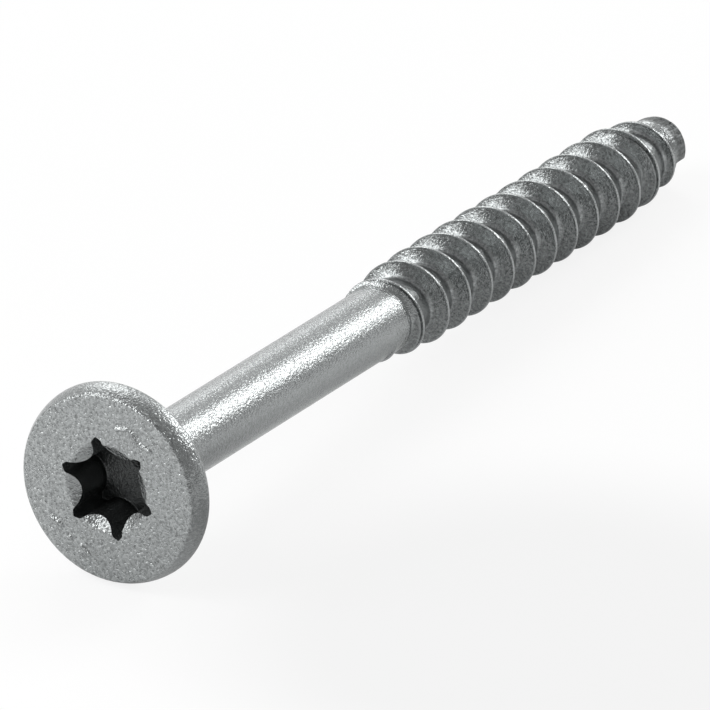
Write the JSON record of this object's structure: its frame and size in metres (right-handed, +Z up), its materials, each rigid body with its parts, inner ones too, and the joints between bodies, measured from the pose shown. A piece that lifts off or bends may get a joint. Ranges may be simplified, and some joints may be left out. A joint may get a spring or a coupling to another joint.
{
  "type": "construction screw",
  "caption": "Countersunk screw with a six-lobe socket, a plain shank and a coarse thread that ends in a blunt tip, lying on its side as it rests.",
  "frame": {"origin": "centre of the underside of the box around the lying screw, at the height of the ground it lies on", "axes": "+X from the head's end to the tip's end along the ground, +Z up; the screw's own axis lies in the XZ plane and falls 3.37 degrees towards the tip, because the head's rim is wider than the thread"},
  "size_m": [0.0704, 0.0136, 0.0135],
  "materials": {
    "coated_steel": "satin silver-grey metallic coating on hardened steel, with a fine grain"
  },
  "bodies": {
    "root": {"construction_screw": "coated_steel"}
  },
  "joints": []
}
